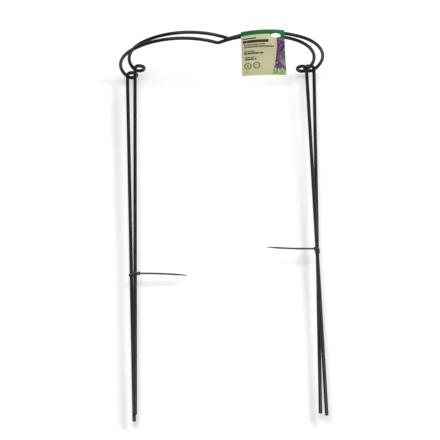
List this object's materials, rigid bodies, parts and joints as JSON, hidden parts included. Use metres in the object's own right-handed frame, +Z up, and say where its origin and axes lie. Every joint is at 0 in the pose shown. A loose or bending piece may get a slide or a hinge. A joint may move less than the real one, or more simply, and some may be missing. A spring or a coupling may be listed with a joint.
{
  "type": "plant support hoop pack",
  "caption": "Nested pair of bow-topped wire plant support hoops with ring eyes, held by two cable ties, with a folded card label over the bows.",
  "frame": {"origin": "at the height of the leg tips, under the middle of the ring eyes", "axes": "+Z up along the legs, -Y forward to the side the bows reach out to, +X to the right seen from the bows' side"},
  "size_m": [0.4159, 0.1687, 0.7857],
  "materials": {
    "steel_wire": "drawn mild steel wire, hidden inside the coating",
    "black_coating": "satin black plastic coating with faint drawing lines",
    "black_nylon": "moulded black nylon",
    "printed_card": "printed speckled card with a green band and a flower panel",
    "glue": "dried adhesive strip"
  },
  "bodies": {
    "rear_hoop": {"rear_hoop_wire": "steel_wire", "rear_hoop_coating": "black_coating"},
    "front_hoop": {"front_hoop_wire": "steel_wire", "front_hoop_coating": "black_coating"},
    "left_tie": {"left_cable_tie": "black_nylon"},
    "right_tie": {"right_cable_tie": "black_nylon"},
    "label": {"label_card": "printed_card", "label_glue": "glue"}
  },
  "joints": [
    {"name": "front_hoop_lift", "type": "slide", "parent": "rear_hoop", "child": "front_hoop", "axis": [0, 0, 1], "range_m": [0, 0.004]},
    {"name": "left_tie_slide", "type": "slide", "parent": "rear_hoop", "child": "left_tie", "axis": [-0.0249, 0.0013, 0.9997], "range_m": [-0.03, 0.03]},
    {"name": "right_tie_slide", "type": "slide", "parent": "rear_hoop", "child": "right_tie", "axis": [-0.0175, 0.0006, 0.9998], "range_m": [-0.015, 0.015]},
    {"name": "label_swing", "type": "hinge", "parent": "front_hoop", "child": "label", "pos_m": [0.0867, -0.1325, 0.779], "axis": [1, 0, 0], "range_deg": [-5, 5]}
  ]
}
